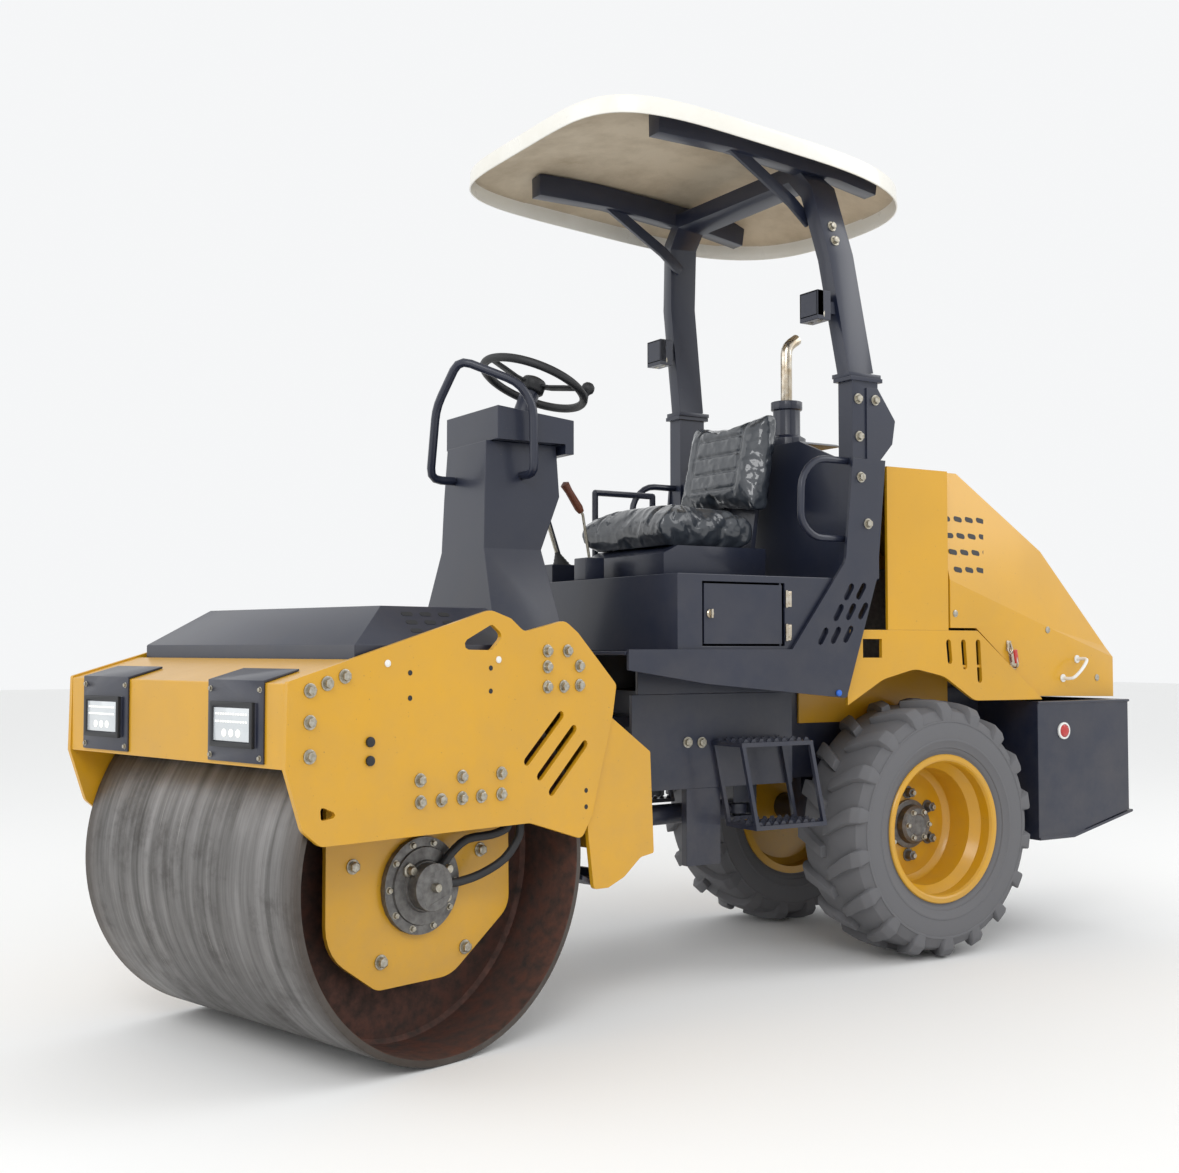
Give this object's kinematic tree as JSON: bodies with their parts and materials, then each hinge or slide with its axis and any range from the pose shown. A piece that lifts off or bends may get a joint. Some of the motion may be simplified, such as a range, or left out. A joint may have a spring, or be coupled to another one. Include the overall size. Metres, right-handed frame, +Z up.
{
  "type": "road roller",
  "caption": "Small ride-on single-drum road roller: articulated frame, smooth steel drum in front, lug tyres behind, tilting hood, seat and hoop with a moulded roof.",
  "frame": {"origin": "bottom centre of the whole machine's box, on the ground", "axes": "+X forwards towards the drum, +Y to the machine's left, +Z up; the front frame is parked turned 15 degrees to the left"},
  "size_m": [3.3134, 1.3048, 2.455],
  "materials": {
    "yellow_paint": "semi-gloss yellow machine enamel",
    "dark_paint": "satin blue-black machine enamel",
    "bare_steel": "ground and lightly rusted rolling steel",
    "bright_steel": "polished stainless pipe and chromed rod",
    "black_rubber": "matt black rubber",
    "tyre_rubber": "matt tyre rubber",
    "seat_vinyl": "dark blue-grey vinyl under a clear film",
    "cream_moulding": "off-white glass-fibre moulding, dusty underneath"
  },
  "bodies": {
    "rear_frame": {"chassis": "dark_paint", "pivot_pin": "bare_steel", "rear_axle": "dark_paint", "engine_block": "bare_steel", "counterweight": "dark_paint", "engine_cowl": "yellow_paint", "seat_bulkhead": "dark_paint", "operator_platform": "dark_paint", "footplate": "dark_paint", "rops_hoop": "dark_paint", "canopy": "cream_moulding", "console_column": "dark_paint", "dash_box": "dark_paint", "console_handrail": "dark_paint", "seat_base": "dark_paint", "seat_cushion": "seat_vinyl", "seat_back": "seat_vinyl", "exhaust_pipe": "bright_steel", "travel_lever": "dark_paint", "fender_left": "yellow_paint", "fender_right": "yellow_paint", "rops_side_plate_left": "dark_paint", "rops_side_plate_right": "dark_paint", "work_lamp_left": "dark_paint", "work_lamp_right": "dark_paint", "grab_handle_left": "dark_paint", "grab_handle_right": "dark_paint", "step_left": "dark_paint", "step_right": "dark_paint"},
    "front_frame": {"side_plate_left": "yellow_paint", "side_plate_right": "yellow_paint", "front_beam": "yellow_paint", "drum_deck": "dark_paint", "drum_cover": "dark_paint", "headlamp_left": "dark_paint", "headlamp_right": "dark_paint", "rear_crossmember": "yellow_paint", "articulation_tongue": "dark_paint", "drum_scraper": "dark_paint", "drum_support_left": "yellow_paint", "drum_support_right": "yellow_paint", "travel_motor": "bare_steel", "vibration_motor": "bare_steel", "motor_hose_upper": "black_rubber", "motor_hose_lower": "black_rubber"},
    "drum": {"drum": "bare_steel"},
    "engine_hood": {"engine_hood": "yellow_paint"},
    "door_left": {"door_left": "dark_paint"},
    "door_right": {"door_right": "dark_paint"},
    "steering_wheel": {"steering_wheel": "black_rubber"},
    "wheel_left": {"tyre_left": "tyre_rubber", "rim_left": "yellow_paint"},
    "wheel_right": {"tyre_right": "tyre_rubber", "rim_right": "yellow_paint"},
    "steering_barrel": {"steering_cylinder": "dark_paint"},
    "steering_rod": {"steering_rod": "bright_steel"}
  },
  "joints": [
    {"name": "articulation_steer", "type": "hinge", "parent": "rear_frame", "child": "front_frame", "pos_m": [0.16526, -0.15245, 0.615], "axis": [0, 0, 1], "range_deg": [-45, 15]},
    {"name": "drum_spin", "type": "hinge", "parent": "front_frame", "child": "drum", "pos_m": [1.09255, 0.09602, 0.425], "axis": [-0.2588, 0.9659, 0], "continuous": true},
    {"name": "wheel_left_spin", "type": "hinge", "parent": "rear_frame", "child": "wheel_left", "pos_m": [-0.76474, 0.19555, 0.387], "axis": [0, 1, 0], "continuous": true},
    {"name": "wheel_right_spin", "type": "hinge", "parent": "rear_frame", "child": "wheel_right", "pos_m": [-0.76474, -0.50045, 0.387], "axis": [0, 1, 0], "continuous": true},
    {"name": "hood_tilt", "type": "hinge", "parent": "rear_frame", "child": "engine_hood", "pos_m": [-0.82274, -0.15245, 1.494], "axis": [0, 1, 0], "range_deg": [0, 50]},
    {"name": "door_left_swing", "type": "hinge", "parent": "rear_frame", "child": "door_left", "pos_m": [-0.14874, 0.29505, 1.022], "axis": [0, 0, 1], "range_deg": [0, 100]},
    {"name": "door_right_swing", "type": "hinge", "parent": "rear_frame", "child": "door_right", "pos_m": [-0.14874, -0.59995, 1.022], "axis": [0, 0, -1], "range_deg": [0, 100]},
    {"name": "steering_wheel_turn", "type": "hinge", "parent": "rear_frame", "child": "steering_wheel", "pos_m": [0.39106, -0.15245, 1.69141], "axis": [-0.3746, 0, 0.9272], "continuous": true},
    {"name": "steering_barrel_swing", "type": "hinge", "parent": "rear_frame", "child": "steering_barrel", "pos_m": [-0.20474, 0.01755, 0.455], "axis": [0, 0, 1], "range_deg": [-19, 7]},
    {"name": "steering_rod_slide", "type": "slide", "parent": "steering_barrel", "child": "steering_rod", "axis": [0.9949, 0.1005, 0], "range_m": [-0.048, 0.135]}
  ],
  "couplings": [
    {"joint": "steering_barrel_swing", "follows": "articulation_steer", "ratio": 0.39},
    {"joint": "steering_rod_slide", "follows": "articulation_steer", "m_per_rad": -0.165}
  ]
}
